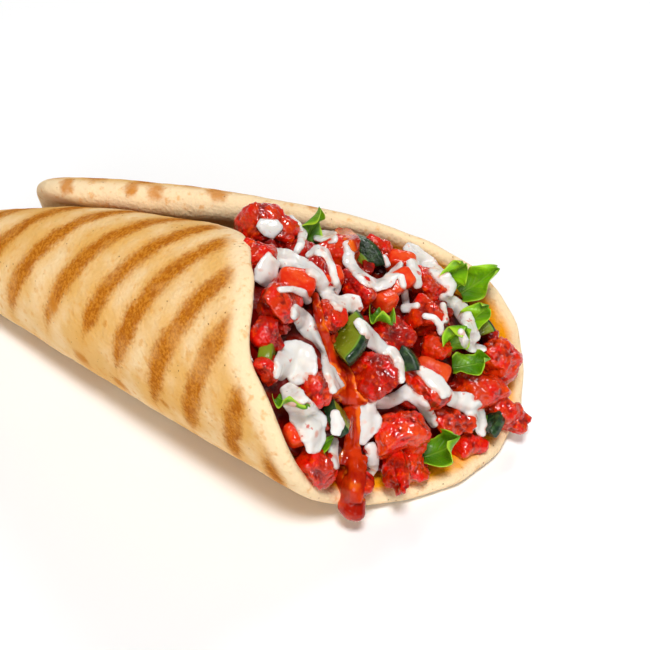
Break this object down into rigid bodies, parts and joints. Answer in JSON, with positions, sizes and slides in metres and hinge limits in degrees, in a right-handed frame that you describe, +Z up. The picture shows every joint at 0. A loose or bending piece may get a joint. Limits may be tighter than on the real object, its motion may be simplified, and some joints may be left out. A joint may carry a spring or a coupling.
{
  "type": "chicken gyro",
  "caption": "Grilled round pita rolled into an open cone and filled with spiced chicken pieces, lettuce, cucumber, tomato, yoghurt sauce and hot sauce.",
  "frame": {"origin": "below the middle of the whole gyro, on the surface it rests on", "axes": "+X along the roll towards its open mouth, +Y to the back flap, +Z up"},
  "size_m": [0.2, 0.1055, 0.0731],
  "materials": {
    "pita": "dry flat bread with brown grill stripes",
    "filling": "glossy red-orange chicken under white and red sauces",
    "lettuce": "crisp bright green leaf",
    "cucumber": "moist pale green flesh with dark green skin",
    "tomato": "moist coral red flesh"
  },
  "bodies": {
    "root": {"pita": "pita", "chicken_filling": "filling", "lettuce_1": "lettuce", "lettuce_2": "lettuce", "lettuce_3": "lettuce", "lettuce_4": "lettuce", "lettuce_5": "lettuce", "lettuce_6": "lettuce", "lettuce_7": "lettuce", "lettuce_8": "lettuce", "lettuce_9": "lettuce", "lettuce_10": "lettuce", "cucumber_1": "cucumber", "cucumber_2": "cucumber", "cucumber_3": "cucumber", "cucumber_4": "cucumber", "cucumber_5": "cucumber", "cucumber_6": "cucumber", "cucumber_7": "cucumber", "tomato_1": "tomato", "tomato_2": "tomato", "tomato_3": "tomato", "tomato_4": "tomato", "tomato_5": "tomato", "tomato_6": "tomato", "tomato_7": "tomato"}
  },
  "joints": []
}
